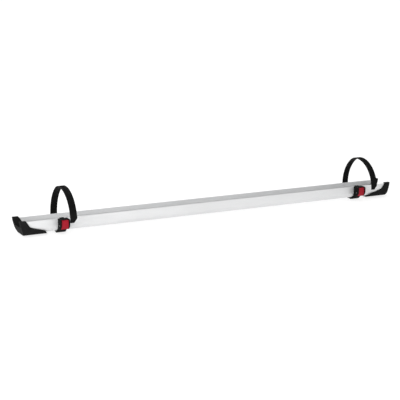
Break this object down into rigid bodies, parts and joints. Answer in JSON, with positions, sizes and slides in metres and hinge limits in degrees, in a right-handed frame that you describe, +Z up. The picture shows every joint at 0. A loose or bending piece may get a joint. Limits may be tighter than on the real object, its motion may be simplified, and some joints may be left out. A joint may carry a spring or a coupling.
{
  "type": "bicycle carrier wheel rail",
  "caption": "Long aluminium gutter rail for a bicycle's wheels, with moulded end caps and sliding strap loops, each with a red press-lever buckle.",
  "frame": {"origin": "middle of the rail's flat underside", "axes": "+X along the rail, +Y away from the buckles, +Z up out of the channel"},
  "size_m": [1.28, 0.1677, 0.1415],
  "materials": {
    "anodised_aluminium": "satin clear anodised, fine extrusion lines",
    "black_moulding": "fine moulded grain",
    "black_strap": "smooth flexible plastic with cross teeth",
    "black_buckle": "satin glass-filled plastic",
    "red_lever": "satin moulded plastic",
    "pin_steel": "zinc plated",
    "pawl_steel": "stamped plate",
    "spring_steel": "drawn wire",
    "rivet_steel": "zinc plated",
    "screw_steel": "stainless"
  },
  "bodies": {
    "rail": {"rail": "anodised_aluminium", "left_end_cap": "black_moulding", "right_end_cap": "black_moulding", "left_cap_screws": "screw_steel", "right_cap_screws": "screw_steel"},
    "left_strap_set": {"left_strap_base": "black_strap", "left_buckle_frame": "black_buckle", "left_buckle_rivets": "rivet_steel", "left_lever_pin": "pin_steel", "left_lever_spring": "spring_steel"},
    "left_arch": {"left_strap": "black_strap"},
    "left_lever": {"left_press_lever": "red_lever", "left_pawl": "pawl_steel"},
    "right_strap_set": {"right_strap_base": "black_strap", "right_buckle_frame": "black_buckle", "right_buckle_rivets": "rivet_steel", "right_lever_pin": "pin_steel", "right_lever_spring": "spring_steel"},
    "right_arch": {"right_strap": "black_strap"},
    "right_lever": {"right_press_lever": "red_lever", "right_pawl": "pawl_steel"}
  },
  "joints": [
    {"name": "left_strap_slide", "type": "slide", "parent": "rail", "child": "left_strap_set", "axis": [1, 0, 0], "range_m": [-0.02, 0.13]},
    {"name": "left_strap_swing", "type": "hinge", "parent": "left_strap_set", "child": "left_arch", "pos_m": [-0.512, 0.0358, 0.04], "axis": [-1, 0, 0], "range_deg": [-6, 95]},
    {"name": "left_lever_press", "type": "hinge", "parent": "left_strap_set", "child": "left_lever", "pos_m": [-0.512, -0.054, 0.0215], "axis": [-1, 0, 0], "range_deg": [0, 24], "stiffness_Nm_per_rad": 0.05, "springref_deg": -20.05, "deforming": ["left_lever_spring"]},
    {"name": "right_strap_slide", "type": "slide", "parent": "rail", "child": "right_strap_set", "axis": [1, 0, 0], "range_m": [-0.13, 0.02]},
    {"name": "right_strap_swing", "type": "hinge", "parent": "right_strap_set", "child": "right_arch", "pos_m": [0.512, 0.0358, 0.04], "axis": [-1, 0, 0], "range_deg": [-6, 95]},
    {"name": "right_lever_press", "type": "hinge", "parent": "right_strap_set", "child": "right_lever", "pos_m": [0.512, -0.054, 0.0215], "axis": [-1, 0, 0], "range_deg": [0, 24], "stiffness_Nm_per_rad": 0.05, "springref_deg": -20.05, "deforming": ["right_lever_spring"]}
  ]
}
